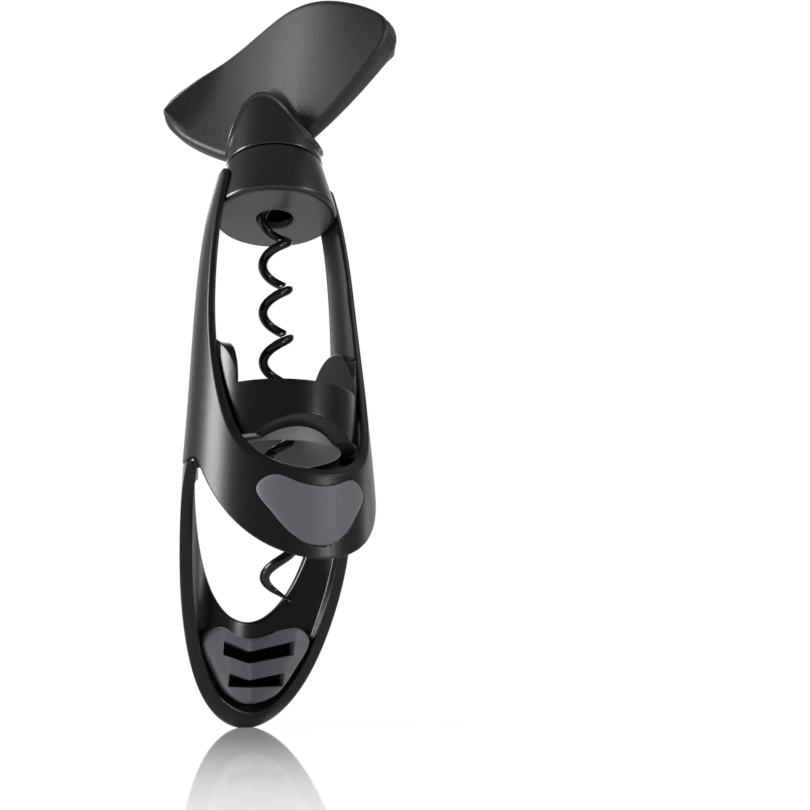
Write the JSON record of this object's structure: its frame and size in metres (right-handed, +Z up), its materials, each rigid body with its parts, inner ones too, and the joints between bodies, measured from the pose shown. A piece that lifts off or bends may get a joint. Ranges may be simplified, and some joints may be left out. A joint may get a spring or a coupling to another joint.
{
  "type": "corkscrew",
  "caption": "Self-pulling corkscrew: a twisted handle turns a long worm through a slim body that grips the bottle neck between a short front grip and a long rear lever.",
  "frame": {"origin": "on the worm's axis, in the plane of the rubber seat where the bottle rim stops", "axes": "+Z up along the worm's axis towards the handle, -Y towards the short front grip, +X along the pivot pins"},
  "size_m": [0.0504, 0.0642, 0.1978],
  "materials": {
    "black_body": "satin black, fine moulded texture",
    "grey_pad": "soft matt grey",
    "black_hub": "satin black",
    "hub_base": "satin dark grey",
    "black_collar": "semi-gloss black",
    "grey_seat": "matt grey",
    "steel_pin": "drawn",
    "black_lever": "satin black",
    "grey_jaw": "soft matt grey",
    "washer": "natural, smooth",
    "black_core": "semi-gloss black",
    "black_handle": "satin black, fine moulded texture",
    "coated_worm": "glossy low-friction black coating"
  },
  "bodies": {
    "bottle_grip": {"rear_lever": "black_lever", "collar": "black_collar", "seat_ring": "grey_seat", "rear_insert": "grey_jaw"},
    "body": {"frame": "black_body", "front_insert": "grey_pad", "hub": "black_hub", "hub_base": "hub_base", "pivot_pin_left": "steel_pin", "pivot_pin_right": "steel_pin"},
    "washer": {"thrust_washer": "washer"},
    "handle": {"handle_core": "black_core", "handle_blade": "black_handle", "worm": "coated_worm"}
  },
  "joints": [
    {"name": "grip_squeeze", "type": "hinge", "parent": "bottle_grip", "child": "body", "pos_m": [0, 0, 0.005], "axis": [1, 0, 0], "range_deg": [0, 6]},
    {"name": "worm_lift", "type": "slide", "parent": "body", "child": "washer", "axis": [0, 0, 1], "range_m": [0, 0.05]},
    {"name": "handle_turn", "type": "hinge", "parent": "washer", "child": "handle", "pos_m": [0, 0, 0.0728], "axis": [0, 0, 1], "continuous": true}
  ]
}
